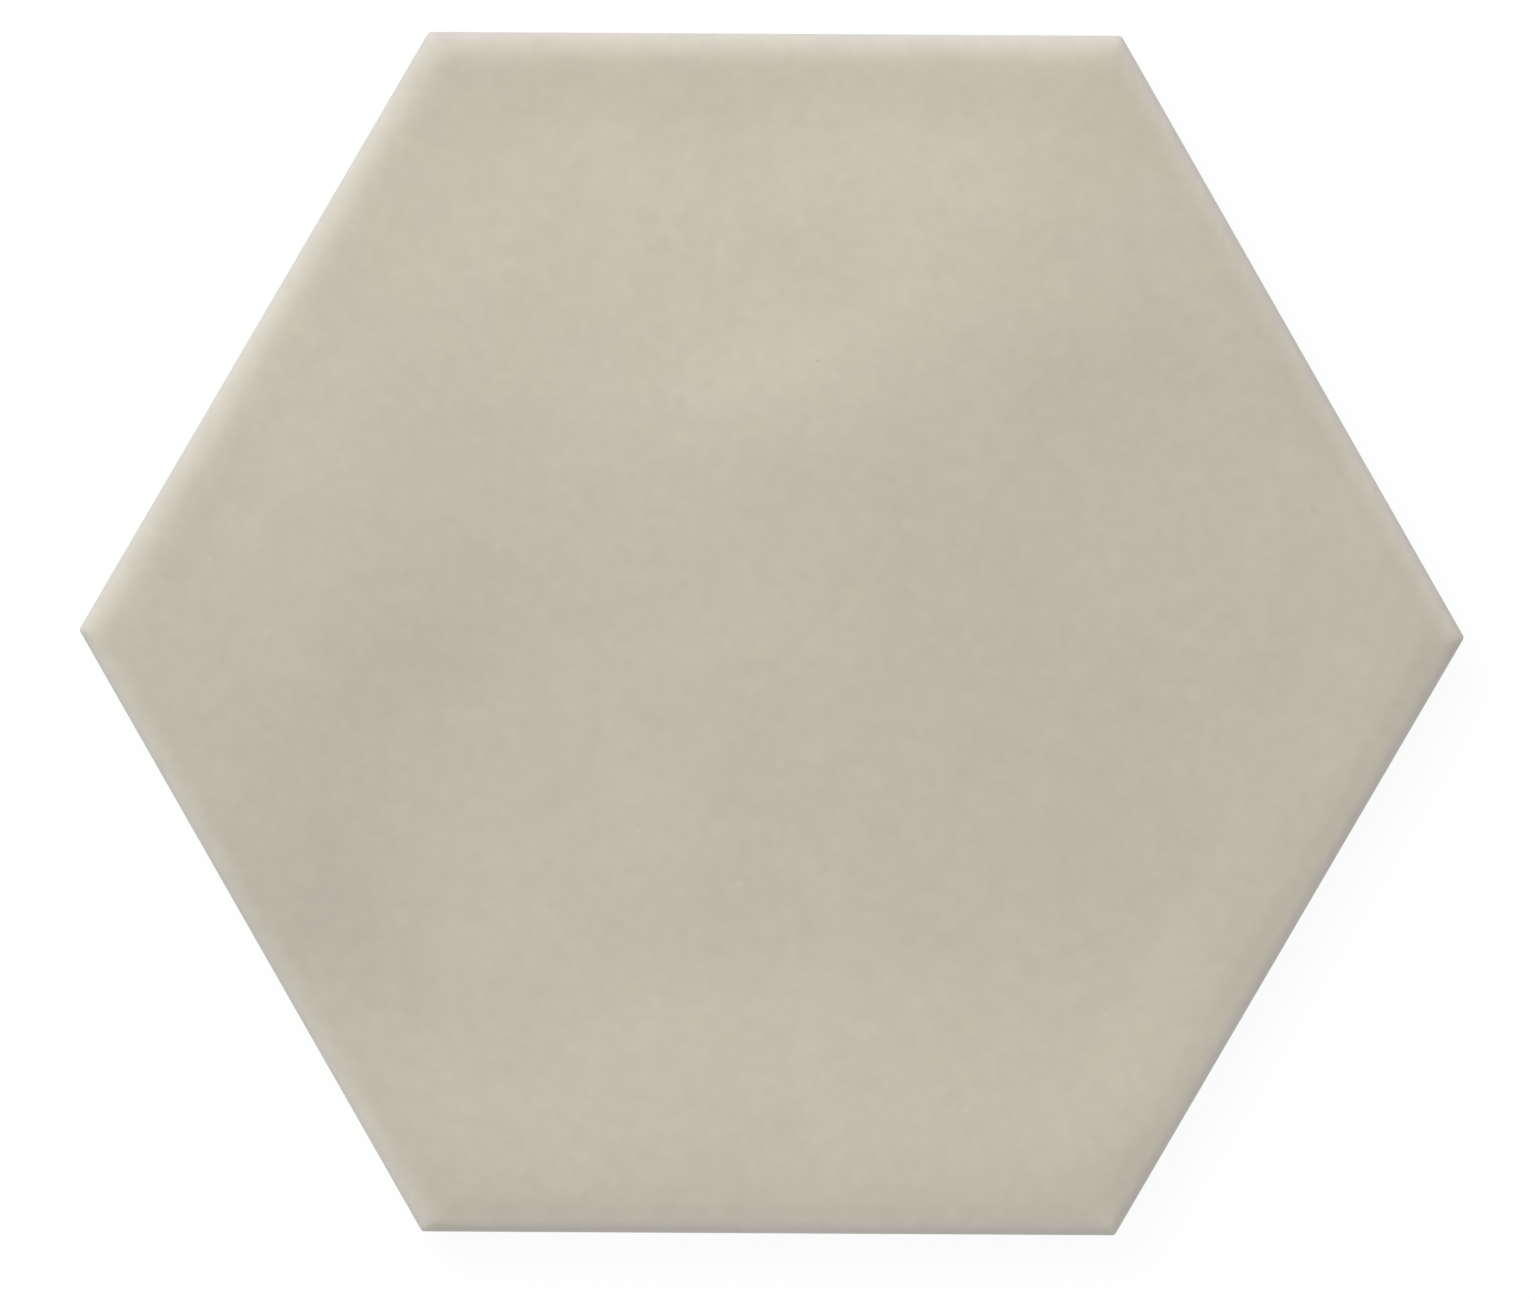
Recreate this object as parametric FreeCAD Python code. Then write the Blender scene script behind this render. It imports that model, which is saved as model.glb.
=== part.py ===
import FreeCAD, Part
import math
import os
from FreeCAD import Vector

# Hexagon floor tile: one piece of dry-pressed stoneware, fired with its glaze fused to the face.
# Millimetres. The origin is the middle of the back, +Z rises through the glazed face,
# +X points at a corner and +Y at a flat side.

# Outline
ACROSS_FLATS = 108.0
CORNER_RADIUS = 0.4
SIDES = 6

# Section, from the back up to the level rim of the face
THICKNESS = 9.0
EDGE_ROLL_WIDTH = 3.4
EDGE_ROLL_DROP = 2.5
LAND_HEIGHT = 2.8
SIDE_DRAFT = 0.5
BACK_ARRIS = 0.4

# Keyed back: square pockets that leave a lattice of ribs inside a plain border
KEY_PITCH = 9.5
KEY_RIB_WIDTH = 2.2
KEY_DEPTH = 0.6
KEY_FLANK = 0.3
KEY_BORDER = 5.0

# A pocket that the border cuts to less than this share of a whole one is left out.
KEY_LEAST_SHARE = 0.3

# Waves of the pressed face, which fade out to a level rim just inside the rolled edge.
# Each swell is its middle x and y, half-length, half-width, the turn of its length
# from +X in degrees, and its height. A hollow has a negative height.
SWELLS = (
    (4.0, 14.0, 36.0, 18.0, 20.0, 0.60),
    (2.0, 20.0, 16.0, 7.0, 22.0, 0.12),
    (20.0, -26.0, 34.0, 16.0, 0.0, -0.45),
    (-28.0, -14.0, 24.0, 12.0, 62.0, -0.35),
    (-40.0, 10.0, 18.0, 10.0, 60.0, 0.25),
)
RIM_STRIP = 1.4
WAVE_FADE = 7.0
WAVE_GRID = 2.5

# The roll starts this far above the level rim, so the face cuts it at a soft but clean angle.
ROLL_LIFT = 0.03

# Sizes that follow from the ones above
RIM_WIDTH = EDGE_ROLL_WIDTH + RIM_STRIP
LAND_BOTTOM = THICKNESS - EDGE_ROLL_DROP - LAND_HEIGHT
FACE_RELIEF = sum(abs(swell[5]) for swell in SWELLS)
BLANK_TOP = THICKNESS + FACE_RELIEF + ROLL_LIFT


def corner_points(across_flats, z):
    """Sharp corners of a level hexagon, the first one on +X."""
    reach = across_flats / 2 / math.cos(math.pi / SIDES)
    turns = [2 * math.pi * side / SIDES for side in range(SIDES)]
    return [Vector(reach * math.cos(turn), reach * math.sin(turn), z) for turn in turns]


def hexagon_prism(across_flats, height):
    """A sharp hexagonal prism that stands on the back plane."""
    points = corner_points(across_flats, 0.0)
    outline = Part.Face(Part.makePolygon(points + points[:1]))
    return outline.extrude(Vector(0, 0, height))


def rounded_hexagon(across_flats, z):
    """A level hexagon whose corners are arcs of the die's corner radius."""
    half_turn = math.pi / SIDES
    edges = []
    last_end = None
    for side, centre in enumerate(corner_points(across_flats - 2 * CORNER_RADIUS, z)):
        middle = 2 * math.pi * side / SIDES
        start, through, end = [
            centre + Vector(CORNER_RADIUS * math.cos(turn), CORNER_RADIUS * math.sin(turn), 0)
            for turn in (middle - half_turn, middle, middle + half_turn)
        ]
        if last_end is not None:
            edges.append(Part.LineSegment(last_end, start).toShape())
        edges.append(Part.Arc(start, through, end).toShape())
        last_end = end
    edges.append(Part.LineSegment(last_end, edges[0].Vertexes[0].Point).toShape())
    return Part.Wire(edges)


def die_blank():
    """The pressed outline: chamfered back edge, drafted lower side and upright land."""
    back_width = ACROSS_FLATS - 2 * SIDE_DRAFT
    sections = (
        (0.0, back_width - 2 * BACK_ARRIS),
        (BACK_ARRIS, back_width),
        (LAND_BOTTOM, ACROSS_FLATS),
        (BLANK_TOP, ACROSS_FLATS),
    )
    return Part.makeLoft([rounded_hexagon(width, z) for z, width in sections], True, True)


def inset(x, y):
    """Distance of a point in from the nearest side of the tile."""
    turns = [math.pi / SIDES * (2 * side + 1) for side in range(SIDES)]
    return ACROSS_FLATS / 2 - max(x * math.cos(turn) + y * math.sin(turn) for turn in turns)


def face_height(x, y):
    """Height of the waved face over a point of the back."""
    waves = 0.0
    for middle_x, middle_y, half_length, half_width, turn, rise in SWELLS:
        cos_turn = math.cos(math.radians(turn))
        sin_turn = math.sin(math.radians(turn))
        along = (x - middle_x) * cos_turn + (y - middle_y) * sin_turn
        across = (y - middle_y) * cos_turn - (x - middle_x) * sin_turn
        waves += rise * math.exp(-((along / half_length) ** 2) - (across / half_width) ** 2)
    fade = min(max((inset(x, y) - RIM_WIDTH) / WAVE_FADE, 0.0), 1.0)
    return THICKNESS + waves * fade * fade * (3 - 2 * fade)


def under_waved_face():
    """Everything below the waved face, out past the corners of the tile."""
    reach = ACROSS_FLATS / 2 / math.cos(math.pi / SIDES) + WAVE_GRID
    steps = math.ceil(2 * reach / WAVE_GRID)
    places = [reach * (2 * step / steps - 1) for step in range(steps + 1)]
    face = Part.BSplineSurface()
    face.interpolate([[Vector(x, y, face_height(x, y)) for x in places] for y in places])
    return face.toShape().extrude(Vector(0, 0, -2 * BLANK_TOP))


def roll_curve():
    """A quarter ellipse from the roll's width on X to its drop on Y, whichever is longer."""
    longer = max(EDGE_ROLL_WIDTH, EDGE_ROLL_DROP)
    shorter = min(EDGE_ROLL_WIDTH, EDGE_ROLL_DROP)
    curve = Part.ArcOfEllipse(Part.Ellipse(Vector(), longer, shorter), 0, math.pi / 2).toShape()
    if EDGE_ROLL_DROP > EDGE_ROLL_WIDTH:
        curve.rotate(Vector(), Vector(1, 1, 0), 180)
    return curve


def rolled_bar(turn):
    """A bar from side to side of the tile, its two top edges rolled over in quarter ellipses."""
    half = ACROSS_FLATS / 2
    top = THICKNESS + ROLL_LIFT
    right_roll = roll_curve()
    right_roll.translate(Vector(half - EDGE_ROLL_WIDTH, top - EDGE_ROLL_DROP, 0))
    left_roll = right_roll.mirror(Vector(), Vector(1, 0, 0))
    foot = [Vector(-half, top - EDGE_ROLL_DROP, 0), Vector(-half, 0, 0), Vector(half, 0, 0)]
    foot.append(Vector(half, top - EDGE_ROLL_DROP, 0))
    crown = [Vector(half - EDGE_ROLL_WIDTH, top, 0), Vector(EDGE_ROLL_WIDTH - half, top, 0)]
    edges = Part.makePolygon(foot).Edges + [right_roll] + Part.makePolygon(crown).Edges + [left_roll]
    section = Part.Face(Part.Wire(Part.__sortEdges__(edges)))
    section.translate(Vector(0, 0, -ACROSS_FLATS))
    bar = section.extrude(Vector(0, 0, 2 * ACROSS_FLATS))
    bar.rotate(Vector(), Vector(1, 0, 0), 90)
    bar.rotate(Vector(), Vector(0, 0, 1), turn)
    return bar


def rolled_block():
    """Three rolled bars crossed into a hexagon, raised inside the rim to take the waves."""
    block = rolled_bar(30).common(rolled_bar(90)).common(rolled_bar(150))
    boss = hexagon_prism(ACROSS_FLATS - 2 * RIM_WIDTH, BLANK_TOP - LAND_BOTTOM)
    boss.translate(Vector(0, 0, LAND_BOTTOM))
    return block.fuse(boss)


def key_pocket(x, y):
    """One drafted pocket of the keyed back, widest where it opens."""
    mouth = KEY_PITCH - KEY_RIB_WIDTH
    squares = []
    for width, z in ((mouth, 0.0), (mouth - 2 * KEY_FLANK, KEY_DEPTH)):
        half = width / 2
        corners = ((-half, -half), (half, -half), (half, half), (-half, half))
        points = [Vector(x + dx, y + dy, z) for dx, dy in corners]
        squares.append(Part.makePolygon(points + points[:1]))
    return Part.makeLoft(squares, True, True)


def key_pockets():
    """The pockets inside the plain border, with a rib crossing at the origin."""
    reach = math.ceil(ACROSS_FLATS / 2 / math.cos(math.pi / SIDES) / KEY_PITCH)
    places = [(step + 0.5) * KEY_PITCH for step in range(-reach, reach)]
    field_width = ACROSS_FLATS - 2 * (SIDE_DRAFT + BACK_ARRIS + KEY_BORDER)
    field = hexagon_prism(field_width, KEY_DEPTH)
    least_volume = KEY_LEAST_SHARE * key_pocket(0.0, 0.0).Volume
    pockets = [key_pocket(x, y).common(field) for x in places for y in places]
    return Part.makeCompound([pocket for pocket in pockets if pocket.Volume > least_volume])


def hexagon_tile():
    """Press the rolled and waved block in the die, then key its back."""
    pressed = rolled_block().common(under_waved_face()).common(die_blank())
    return pressed.cut(key_pockets()).Solids[0]


os.makedirs("parts", exist_ok=True)
hexagon_tile().exportStep("parts/hexagon_tile.step")
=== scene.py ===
import math

import bmesh
import bpy
from mathutils import Matrix, Vector, noise


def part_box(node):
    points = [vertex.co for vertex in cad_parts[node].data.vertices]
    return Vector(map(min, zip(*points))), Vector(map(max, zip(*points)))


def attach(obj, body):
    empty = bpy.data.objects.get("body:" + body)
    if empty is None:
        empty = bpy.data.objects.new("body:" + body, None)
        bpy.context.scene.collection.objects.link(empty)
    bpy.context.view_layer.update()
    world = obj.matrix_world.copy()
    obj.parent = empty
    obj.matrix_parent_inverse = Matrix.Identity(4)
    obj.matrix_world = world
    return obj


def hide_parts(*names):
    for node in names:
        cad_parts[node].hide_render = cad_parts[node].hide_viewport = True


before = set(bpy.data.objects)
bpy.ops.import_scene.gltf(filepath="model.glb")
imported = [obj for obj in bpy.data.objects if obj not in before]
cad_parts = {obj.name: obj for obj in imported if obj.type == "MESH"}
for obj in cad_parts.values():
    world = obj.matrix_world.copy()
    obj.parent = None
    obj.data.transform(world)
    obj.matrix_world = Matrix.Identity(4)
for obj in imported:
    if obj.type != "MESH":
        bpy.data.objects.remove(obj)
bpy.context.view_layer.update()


# Tile: waved and glazed face
# The tile is one slab of dry-pressed, fired stoneware. Its face was pressed with low waves
# and carries a satin glaze, which runs over the rolled edge and down the sides.
MM = 0.001
HALF_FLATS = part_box("hexagon_tile")[1][1]
HALF_SIDE_TURN = math.radians(30)
SIDE_TURNS = [math.radians(30 + 60 * side) for side in range(6)]
FACE_LEVEL = 9.0 * MM
ROLL_WIDTH = 6.4 * MM
ROLL_DROP = 2.5 * MM
ROLL_FULLNESS = 5
DIE_CORNER = 0.4 * MM
FACE_CORNER = 7.0 * MM
RIM_WIDTH = 4.8 * MM
WAVE_FADE = 7.0 * MM

# Waves of the pressed face: middle x and y, half-length, half-width, turn of the length
# in degrees, and height. The lengths are in millimetres.
SWELLS = (
    (4.0, 14.0, 36.0, 18.0, 20.0, 0.60),
    (2.0, 20.0, 16.0, 7.0, 22.0, 0.12),
    (20.0, -26.0, 34.0, 16.0, 0.0, -0.45),
    (-28.0, -14.0, 24.0, 12.0, 62.0, -0.35),
    (-40.0, 10.0, 18.0, 10.0, 60.0, 0.25),
)

# Paler and darker patches over the face, in the same form; the last number is percent of tone.
CLOUDS = (
    (0.0, 36.0, 40.0, 14.0, 5.0, 5.0),
    (-6.0, 41.0, 26.0, 6.0, 0.0, 3.0),
    (0.0, 42.0, 4.0, 5.0, 0.0, 1.5),
    (13.0, 43.0, 9.0, 6.0, 10.0, 4.5),
    (30.0, 46.0, 5.0, 4.0, 0.0, -2.5),
    (-32.0, 35.0, 6.0, 7.0, 0.0, 2.5),
    (-40.0, 22.0, 7.0, 5.0, 0.0, 2.5),
    (0.0, 24.0, 14.0, 5.0, 22.0, 4.8),
    (2.0, 13.0, 9.0, 4.0, 0.0, -2.8),
    (-28.0, 16.0, 7.0, 4.0, -20.0, -2.0),
    (30.0, 24.0, 14.0, 6.0, 10.0, -3.5),
    (36.0, 12.0, 11.0, 3.0, 0.0, 2.0),
    (30.0, 0.0, 20.0, 22.0, 0.0, -2.8),
    (22.0, -18.0, 13.0, 11.0, 0.0, -1.8),
    (40.0, -24.0, 5.0, 4.0, 0.0, -2.0),
    (57.0, -1.0, 5.0, 5.0, 0.0, -3.5),
    (-4.0, 0.0, 16.0, 9.0, 10.0, 2.5),
    (-9.0, -17.0, 5.0, 4.0, 0.0, 2.5),
    (-32.0, -1.0, 12.0, 7.0, 40.0, -5.6),
    (-49.0, -2.0, 7.0, 14.0, 0.0, -3.2),
    (-41.0, -21.0, 14.0, 8.0, 70.0, -5.0),
    (-35.0, -29.0, 10.0, 5.0, -40.0, -4.5),
    (0.0, -40.0, 40.0, 8.0, 0.0, 4.2),
    (-10.0, -33.0, 7.0, 6.0, 50.0, 4.0),
    (-26.0, -43.0, 9.0, 5.0, -10.0, 3.5),
    (-13.0, -42.0, 6.0, 6.0, 0.0, 2.5),
    (31.0, -41.0, 13.0, 4.0, 42.0, 3.5),
    (3.0, 46.0, 9.0, 5.0, 0.0, 2.0),
    (-20.0, 50.0, 13.0, 3.0, 0.0, -3.0),
    (24.0, 49.0, 9.0, 3.0, 0.0, -2.0),
    (2.0, -34.0, 7.0, 4.0, 0.0, 2.5),
    (-24.0, 31.0, 12.0, 7.0, 0.0, 1.5),
)

# Warmer and cooler drifts of the glaze, in the same form; the last number is their share.
DRIFTS = (
    (-4.0, 40.0, 30.0, 15.0, 0.0, 0.35),
    (26.0, 47.0, 9.0, 6.0, 0.0, 0.30),
    (-38.0, -22.0, 9.0, 12.0, 30.0, -0.45),
    (-12.0, -49.0, 22.0, 7.0, 0.0, -0.50),
    (10.0, -18.0, 18.0, 7.0, -10.0, -0.20),
)

# Slow and fine flow of the glaze: its height, and how many noise cells it has per metre.
# The slow flow lies mostly under the pressed level, by this share of its height.
SLOW_FLOW = 0.030 * MM
SLOW_FLOW_CELLS = 70
SLOW_FLOW_SINK = 0.8
FINE_FLOW = 0.006 * MM
FINE_FLOW_CELLS = 260

# The net of the face is made of hexagonal rings. Each half side of a ring gives this share
# of its net to the corner.
FACE_RINGS = 116
ROLL_RINGS = 34
CORNER_SHARE = 0.08


def eased(share):
    """A share held between 0 and 1 that leaves the one and meets the other softly."""
    share = min(max(share, 0.0), 1.0)
    return share * share * (3 - 2 * share)


def patch_sum(point, patches):
    """Sum of soft oval patches over a place on the face."""
    total = 0.0
    for middle_x, middle_y, half_length, half_width, turn, rise in patches:
        cos_turn = math.cos(math.radians(turn))
        sin_turn = math.sin(math.radians(turn))
        from_x = point.x / MM - middle_x
        from_y = point.y / MM - middle_y
        along = from_x * cos_turn + from_y * sin_turn
        across = from_y * cos_turn - from_x * sin_turn
        total += rise * math.exp(-((along / half_length) ** 2) - (across / half_width) ** 2)
    return total


def from_side(point):
    """Turn of the nearest side, distance out toward it, and place along it."""
    turn = max(SIDE_TURNS, key=lambda side: point.x * math.cos(side) + point.y * math.sin(side))
    out = point.x * math.cos(turn) + point.y * math.sin(turn)
    along = point.y * math.cos(turn) - point.x * math.sin(turn)
    return turn, out, along


def on_rounded_hexagon(turn, half_flats, corner, share):
    """A place on a hexagon with rounded corners; share runs from -1 to 1 along one side."""
    half_straight = (half_flats - corner) * math.tan(HALF_SIDE_TURN)
    size = min(abs(share), 1.0)
    if size <= 1 - CORNER_SHARE:
        out = half_flats
        along = half_straight * size / (1 - CORNER_SHARE)
    else:
        bend = HALF_SIDE_TURN * (size - 1 + CORNER_SHARE) / CORNER_SHARE
        out = half_flats - corner + corner * math.cos(bend)
        along = half_straight + corner * math.sin(bend)
    along = math.copysign(along, share)
    return Vector((
        out * math.cos(turn) - along * math.sin(turn),
        out * math.sin(turn) + along * math.cos(turn),
        0.0,
    ))


def face_waves(point):
    """Pressed waves that fade to a level rim, and the flow of the glaze over them."""
    inset = HALF_FLATS - from_side(point)[1]
    waves = patch_sum(point, SWELLS) * MM * eased((inset - RIM_WIDTH) / WAVE_FADE)
    slow_flow = SLOW_FLOW * (noise.noise(point * SLOW_FLOW_CELLS) - SLOW_FLOW_SINK)
    fine_flow = FINE_FLOW * noise.noise(point * FINE_FLOW_CELLS)
    return waves + slow_flow + fine_flow


tile_mesh = bmesh.new()
rings = FACE_RINGS + ROLL_RINGS
bmesh.ops.create_circle(tile_mesh, cap_ends=True, cap_tris=True, segments=6, radius=1.0)
upright = Matrix.Rotation(HALF_SIDE_TURN, 3, "Z")
bmesh.ops.rotate(tile_mesh, verts=tile_mesh.verts, matrix=upright)
bmesh.ops.subdivide_edges(tile_mesh, edges=tile_mesh.edges[:], cuts=rings - 1, use_grid_fill=True)
roll_layer = tile_mesh.verts.layers.float.new("roll")
glaze_layer = tile_mesh.verts.layers.float.new("glaze")
cloud_layer = tile_mesh.verts.layers.float.new("cloud")
drift_layer = tile_mesh.verts.layers.float.new("drift")
for vert in tile_mesh.verts:
    turn, out, along = from_side(vert.co)
    ring = rings * out / math.cos(HALF_SIDE_TURN)
    share = along / (out * math.tan(HALF_SIDE_TURN)) if ring > 0.5 else 0.0
    past_face = max(ring - FACE_RINGS, 0.0) / ROLL_RINGS
    if past_face > 0:
        over_roll = min(math.sin(math.radians(90) * past_face), 1.0)
        half_flats = HALF_FLATS - ROLL_WIDTH * (1 - over_roll)
        corner = DIE_CORNER + (FACE_CORNER - DIE_CORNER) * (1 - over_roll)
    else:
        over_roll = 0.0
        half_flats = (HALF_FLATS - ROLL_WIDTH) * ring / FACE_RINGS
        corner = FACE_CORNER * ring / FACE_RINGS
    place = on_rounded_hexagon(turn, half_flats, corner, share)
    drop = ROLL_DROP * (1 - math.sqrt(1 - over_roll ** ROLL_FULLNESS))
    place.z = FACE_LEVEL + face_waves(place) - drop
    vert.co = place
    vert[roll_layer] = past_face
    vert[glaze_layer] = 1.0
    vert[cloud_layer] = patch_sum(place, CLOUDS)
    vert[drift_layer] = patch_sum(place, DRIFTS)


# Tile: glazed sides and bare lower body
# Below the roll each side has an upright land. The glaze ends on it in a wandering line,
# a tenth of a millimetre proud of the bare body.
GLAZE_LINE = 4.8 * MM
GLAZE_FADE = 0.3 * MM
GLAZE_PROUD = 0.10 * MM
SKIRT_LOW = 3.0 * MM
SKIRT_RINGS = 16

# The glaze is pale over the roll, partly as thinner glaze and partly as painted sheen of light on
# the grazing edge, and loses this share of it down the side.
PALE_SHEEN_LOSS = 0.9

# Wander of the glaze line: its height, and its noise cells on a circle of radius 1.
WANDERS = ((0.35 * MM, 6), (0.15 * MM, 28))


def bare_share(place, height):
    """0 where the glaze covers the side and 1 where the body is bare, at a given height."""
    around = place.xy.normalized().to_3d()
    glaze_end = GLAZE_LINE + sum(rise * noise.noise(around * cells) for rise, cells in WANDERS)
    return min(max((glaze_end - height) / GLAZE_FADE, 0.0), 1.0)


def side_width(bare):
    """Width of the side where it is bare to a given share, with 1 for the glazed one."""
    return 1 - GLAZE_PROUD / HALF_FLATS * eased(bare)


rim_edges = [edge for edge in tile_mesh.edges if edge.is_boundary]
skirt_top = FACE_LEVEL - ROLL_DROP
for ring in range(1, SKIRT_RINGS + 1):
    grown = bmesh.ops.extrude_edge_only(tile_mesh, edges=rim_edges)["geom"]
    rim_edges = [item for item in grown if isinstance(item, bmesh.types.BMEdge)]
    height = skirt_top + (SKIRT_LOW - skirt_top) * ring / SKIRT_RINGS
    for vert in [item for item in grown if isinstance(item, bmesh.types.BMVert)]:
        bare_above = bare_share(vert.co, vert.co.z)
        bare = bare_share(vert.co, height)
        step_in = side_width(bare) / side_width(bare_above)
        vert.co = Vector((vert.co.x * step_in, vert.co.y * step_in, height))
        # The roll value carries the pale glaze and its painted sheen down the side.
        vert[roll_layer] = 1.0 - PALE_SHEEN_LOSS * ring / SKIRT_RINGS
        vert[glaze_layer] = 1.0 - bare
        vert[cloud_layer] = 0.0


# Tile: drafted lower sides and keyed back
# The lower sides and the ribbed back that beds in adhesive are the bare pressed body.
# They are cut from a merged copy of the measured solid and closed onto the glazed part.
JOIN_LEVEL = 2.9 * MM
MERGE_DISTANCE = 0.001 * MM
CREASE_TURN = math.radians(35)
lower_mesh = bmesh.new()
lower_mesh.from_mesh(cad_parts["hexagon_tile"].data)
bmesh.ops.remove_doubles(lower_mesh, verts=lower_mesh.verts, dist=MERGE_DISTANCE)
bmesh.ops.bisect_plane(
    lower_mesh,
    geom=lower_mesh.verts[:] + lower_mesh.edges[:] + lower_mesh.faces[:],
    plane_co=(0.0, 0.0, JOIN_LEVEL),
    plane_no=(0.0, 0.0, 1.0),
    clear_outer=True,
)
lower_body = bpy.data.meshes.new("lower_body")
lower_mesh.to_mesh(lower_body)
lower_mesh.free()
tile_mesh.from_mesh(lower_body)
bpy.data.meshes.remove(lower_body)
open_edges = [edge for edge in tile_mesh.edges if edge.is_boundary]
bmesh.ops.bridge_loops(tile_mesh, edges=open_edges)
bmesh.ops.recalc_face_normals(tile_mesh, faces=tile_mesh.faces)
fired_mesh = bpy.data.meshes.new("hexagon_tile_fired")
tile_mesh.to_mesh(fired_mesh)
tile_mesh.free()
tile = bpy.data.objects.new("hexagon_tile_fired", fired_mesh)
bpy.context.scene.collection.objects.link(tile)
fired_mesh.shade_smooth()
fired_mesh.set_sharp_from_angle(angle=CREASE_TURN)
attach(tile, "root")
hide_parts("hexagon_tile")


# Tile: satin glaze and bare body
# The glaze is a matt-satin warm grey-beige with paler and darker patches over the face, fine pale
# flecks and a pin-prick. The body under it is pale, dry and slightly grainy.
WARM_GLAZE_COLOR = (0.503, 0.459, 0.357, 1.0)
COOL_GLAZE_COLOR = (0.497, 0.459, 0.383, 1.0)
# Pale edge colour: thinner glaze together with a painted sheen of light over the rolled edge.
EDGE_GLAZE_AND_SHEEN_COLOR = (0.74, 0.705, 0.635, 1.0)
BODY_COLOR = (0.600, 0.545, 0.450)

# The roll's glaze turns pale, partly thinner glaze and partly painted sheen, between these two
# shares of the way over it.
PALE_SHEEN_FROM = 0.38
PALE_SHEEN_TO = 0.94

# The glaze is smoother than the bare body by this much, and reflects as glass does.
GLAZE_SMOOTHNESS = 0.34
GLAZE_IOR = 1.5
GRAIN_DEPTH = 0.004 * MM

# Flecks in the glaze, the pin-prick first: middle x and y and radius in millimetres, and
# the change of tone. A fleck is full out to its core and gone at its reach, in radii.
SPECKS = (
    (4.0, 24.5, 0.10, -0.30),
    (48.6, 11.4, 0.30, -0.06),
    (22.7, 22.5, 0.25, 0.05),
    (-2.8, -22.5, 0.25, 0.05),
    (-11.9, -17.9, 0.25, 0.05),
    (11.9, 10.0, 0.25, 0.05),
    (-50.5, 6.4, 0.25, 0.05),
    (-14.3, 28.6, 0.25, 0.04),
    (0.1, 8.5, 0.20, 0.05),
    (21.7, 16.1, 0.25, 0.04),
    (17.7, -42.6, 0.30, 0.05),
    (-12.8, 44.4, 0.25, 0.04),
    (30.3, -34.0, 0.30, 0.05),
)
SPECK_CORE = 0.6
SPECK_REACH = 1.5


def node_adder(tree):
    """Empty a node tree and give back a function that adds nodes to it."""
    tree.nodes.clear()

    def add(kind, inputs=None, **settings):
        """A node with its settings, each input set or linked by its name or number."""
        node = tree.nodes.new(kind)
        for name, value in settings.items():
            setattr(node, name, value)
        for socket, value in (inputs or {}).items():
            if isinstance(value, bpy.types.NodeSocket):
                tree.links.new(value, node.inputs[socket])
            else:
                node.inputs[socket].default_value = value
        return node

    return add


material = bpy.data.materials.new("satin_glaze_on_stoneware")
material.use_nodes = True
glaze_node = node_adder(material.node_tree)
where = glaze_node("ShaderNodeTexCoord").outputs["Object"]


def attribute(name):
    """A value that the mesh carries, such as how far over the roll a place lies."""
    return glaze_node("ShaderNodeAttribute", attribute_name=name).outputs["Fac"]


def times(first, second):
    """Product of two values."""
    return glaze_node("ShaderNodeMath", {0: first, 1: second}, operation="MULTIPLY").outputs[0]


def plus(first, second):
    """Sum of two values."""
    return glaze_node("ShaderNodeMath", {0: first, 1: second}, operation="ADD").outputs[0]


def toned(color, tone):
    """A colour made paler or darker by a tone."""
    inputs = {0: color, "Scale": tone}
    return glaze_node("ShaderNodeVectorMath", inputs, operation="SCALE").outputs[0]


def blend(share, first, second):
    """The first colour at a share of 0, the second at 1, and a mix between."""
    inputs = {0: share, 6: first, 7: second}
    return glaze_node("ShaderNodeMix", inputs, data_type="RGBA").outputs[2]


def mottle(scale, detail, low, high, aside=0.0, decay=0.5):
    """Soft noise of a scale per metre, spread between two values and shifted aside."""
    shift = {0: where, 1: (aside, aside * 0.7, 0.0)}
    moved = glaze_node("ShaderNodeVectorMath", shift, operation="ADD").outputs[0]
    cells = {"Vector": moved, "Scale": scale, "Detail": detail, "Roughness": decay}
    cloud = glaze_node("ShaderNodeTexNoise", cells).outputs["Fac"]
    spread = {"Value": cloud, "From Min": 0.25, "From Max": 0.75, "To Min": low, "To Max": high}
    return glaze_node("ShaderNodeMapRange", spread).outputs[0]


def soft_step(value, low, high, first=0.0, second=1.0):
    """The first value up to a low one, the second from a high one, and smooth between."""
    step = {"Value": value, "From Min": low, "From Max": high, "To Min": first, "To Max": second}
    return glaze_node("ShaderNodeMapRange", step, interpolation_type="SMOOTHSTEP").outputs[0]


def speck(x, y, radius, change):
    """Tone of a small round mark in the glaze."""
    ends = {0: flat_place, 1: (x * MM, y * MM, 0.0)}
    away = glaze_node("ShaderNodeVectorMath", ends, operation="DISTANCE").outputs["Value"]
    return soft_step(away, SPECK_CORE * radius * MM, SPECK_REACH * radius * MM, 1.0 + change, 1.0)


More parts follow.
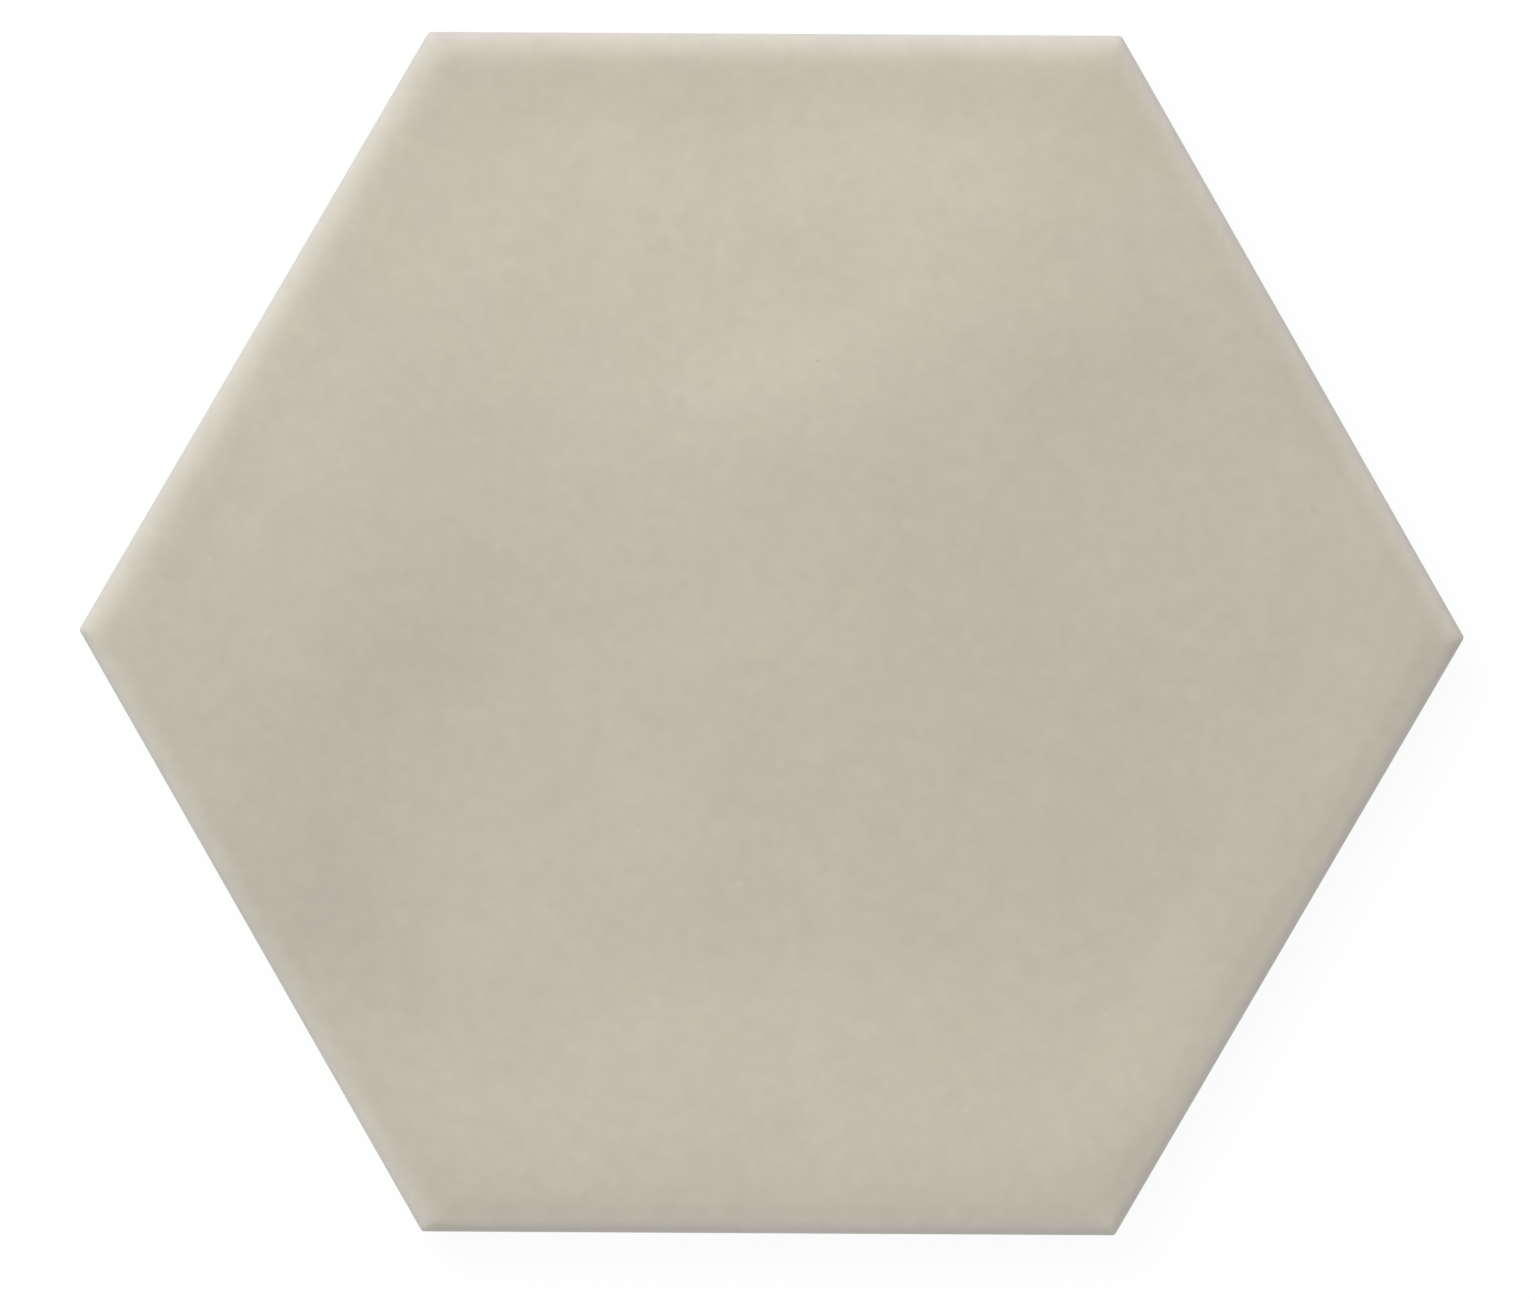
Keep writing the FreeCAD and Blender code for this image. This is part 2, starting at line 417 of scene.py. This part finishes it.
flatten = {0: where, 1: (1.0, 1.0, 0.0)}
flat_place = glaze_node("ShaderNodeVectorMath", flatten, operation="MULTIPLY").outputs[0]
broad_mottle = mottle(scale=60, detail=4.0, low=0.96, high=1.04, decay=0.75)
fine_mottle = mottle(scale=640, detail=1.0, low=0.97, high=1.03, aside=0.3, decay=0.8)
tone = times(broad_mottle, fine_mottle)
tone = times(tone, plus(times(attribute("cloud"), 0.01), 1.0))
for speck_sizes in SPECKS:
    tone = times(tone, speck(*speck_sizes))
hue_mottle = mottle(scale=180, detail=3.0, low=0.30, high=0.70, aside=0.5, decay=0.8)
warmth = plus(attribute("drift"), hue_mottle)
warm_glaze = blend(warmth, COOL_GLAZE_COLOR, WARM_GLAZE_COLOR)
# Paler colour over the roll and down the sides: part thinner glaze, part painted sheen.
paleness_and_sheen = soft_step(attribute("roll"), PALE_SHEEN_FROM, PALE_SHEEN_TO)
glaze_color = toned(blend(paleness_and_sheen, warm_glaze, EDGE_GLAZE_AND_SHEEN_COLOR), tone)
body_grain = mottle(scale=1800, detail=2.0, low=0.94, high=1.06, aside=0.2)
body_clouds = mottle(scale=120, detail=3.0, low=0.96, high=1.04, aside=0.6)
body_color = toned(BODY_COLOR, times(body_grain, body_clouds))
glazed = attribute("glaze")
dry_roughness = mottle(scale=300, detail=2.0, low=0.84, high=0.90, aside=0.8)
grain = mottle(scale=1500, detail=2.0, low=0.0, high=1.0)
bump = glaze_node("ShaderNodeBump", {"Strength": 1.0, "Distance": GRAIN_DEPTH, "Height": grain})
surface = glaze_node("ShaderNodeBsdfPrincipled", {
    "Base Color": blend(glazed, body_color, glaze_color),
    "Roughness": plus(times(glazed, -GLAZE_SMOOTHNESS), dry_roughness),
    "Normal": bump.outputs["Normal"],
    "IOR": GLAZE_IOR,
})
glaze_node("ShaderNodeOutputMaterial", {"Surface": surface.outputs[0]})
fired_mesh.materials.append(material)


# Floor
# A plain pale surface under the tile; it is not part of the object. It is open just under
# the back, where the tile hides it from above, so that the keys can be seen from below.
FLOOR_REACH = 2.0
OPENING_HALF_FLATS = 53.0 * MM
FLOOR_COLOR = (0.45, 0.45, 0.45, 1.0)

# To the camera and in reflections the floor glows nearly white and shows a faint shadow.
SHADOWED_COLOR = (0.08, 0.08, 0.08, 1.0)
FLOOR_GLOW = 0.93
floor_mesh = bmesh.new()
opening_corner = OPENING_HALF_FLATS / math.cos(HALF_SIDE_TURN)
bmesh.ops.create_circle(floor_mesh, segments=6, radius=opening_corner)
bmesh.ops.rotate(floor_mesh, verts=floor_mesh.verts, matrix=upright)
for item in bmesh.ops.extrude_edge_only(floor_mesh, edges=floor_mesh.edges[:])["geom"]:
    if isinstance(item, bmesh.types.BMVert):
        item.co *= FLOOR_REACH / item.co.length
floor_data = bpy.data.meshes.new("floor")
floor_mesh.to_mesh(floor_data)
floor_mesh.free()
floor = bpy.data.objects.new("floor", floor_data)
bpy.context.scene.collection.objects.link(floor)


def seen_share(add_node):
    """1 for a ray that the camera, a reflection or a clear body sends out, otherwise 0."""
    path = add_node("ShaderNodeLightPath")
    total = path.outputs["Is Camera Ray"]
    for name in ("Is Glossy Ray", "Is Transmission Ray"):
        either = {0: total, 1: path.outputs[name]}
        total = add_node("ShaderNodeMath", either, operation="MAXIMUM").outputs[0]
    return total


floor_paint = bpy.data.materials.new("pale_floor")
floor_paint.use_nodes = True
floor_node = node_adder(floor_paint.node_tree)
lit = floor_node("ShaderNodeBsdfDiffuse", {"Color": FLOOR_COLOR}).outputs[0]
shadowed = floor_node("ShaderNodeBsdfDiffuse", {"Color": SHADOWED_COLOR}).outputs[0]
glow = floor_node("ShaderNodeEmission", {"Strength": FLOOR_GLOW}).outputs[0]
shown = floor_node("ShaderNodeAddShader", {0: shadowed, 1: glow}).outputs[0]
choice = floor_node("ShaderNodeMixShader", {0: seen_share(floor_node), 1: lit, 2: shown})
floor_node("ShaderNodeOutputMaterial", {"Surface": choice.outputs[0]})
floor_data.materials.append(floor_paint)


# Light
# One large soft lamp from the upper left of the picture, and an even surround that the
# camera sees as white.
KEY_TURN = math.radians(123)
KEY_FROM_OVERHEAD = math.radians(35)
KEY_DISTANCE = 2.0
KEY_SIZE = 1.4
KEY_POWER = 26.0
WHITE = (1.0, 1.0, 1.0, 1.0)
SURROUND = 0.50
lamp = bpy.data.lights.new("key", "AREA")
lamp.shape = "DISK"
lamp.size = KEY_SIZE
lamp.energy = KEY_POWER
key = bpy.data.objects.new("key", lamp)
aim = Vector((
    math.sin(KEY_FROM_OVERHEAD) * math.cos(KEY_TURN),
    math.sin(KEY_FROM_OVERHEAD) * math.sin(KEY_TURN),
    math.cos(KEY_FROM_OVERHEAD),
))
key.location = KEY_DISTANCE * aim
key.rotation_euler = aim.to_track_quat("Z", "Y").to_euler()
bpy.context.scene.collection.objects.link(key)
world = bpy.data.worlds.new("surround")
world.use_nodes = True
bpy.context.scene.world = world
world_node = node_adder(world.node_tree)
sky = world_node("ShaderNodeBackground", {"Color": WHITE, "Strength": SURROUND}).outputs[0]
white = world_node("ShaderNodeBackground", {"Color": WHITE, "Strength": 1.0}).outputs[0]
choice = world_node("ShaderNodeMixShader", {0: seen_share(world_node), 1: sky, 2: white})
world_node("ShaderNodeOutputWorld", {"Surface": choice.outputs[0]})
bpy.context.scene.view_settings.view_transform = "Standard"


# Camera
# Straight above the face, turned and placed so the tile lies in the frame as in the photograph.
FRAME_WIDTH_PX = 1535
TILE_CORNER_PX = 692.5
TILE_RIGHT_PX = 4.2
TILE_UP_PX = 16.4
CAMERA_TURN = math.radians(0.325)
CAMERA_LENS = 200.0
SENSOR = 36.0
NEAREST_SEEN = 0.01
px = HALF_FLATS / math.cos(HALF_SIDE_TURN) / TILE_CORNER_PX
camera_data = bpy.data.cameras.new("camera")
camera_data.lens = CAMERA_LENS
camera_data.sensor_width = SENSOR
camera_data.clip_start = NEAREST_SEEN
camera = bpy.data.objects.new("camera", camera_data)
distance = CAMERA_LENS / SENSOR * FRAME_WIDTH_PX * px
offset = Vector((-TILE_RIGHT_PX * px, -TILE_UP_PX * px, FACE_LEVEL - ROLL_DROP + distance))
camera.location = Matrix.Rotation(CAMERA_TURN, 3, "Z") @ offset
camera.rotation_euler = (0.0, 0.0, CAMERA_TURN)
bpy.context.scene.collection.objects.link(camera)
bpy.context.scene.camera = camera
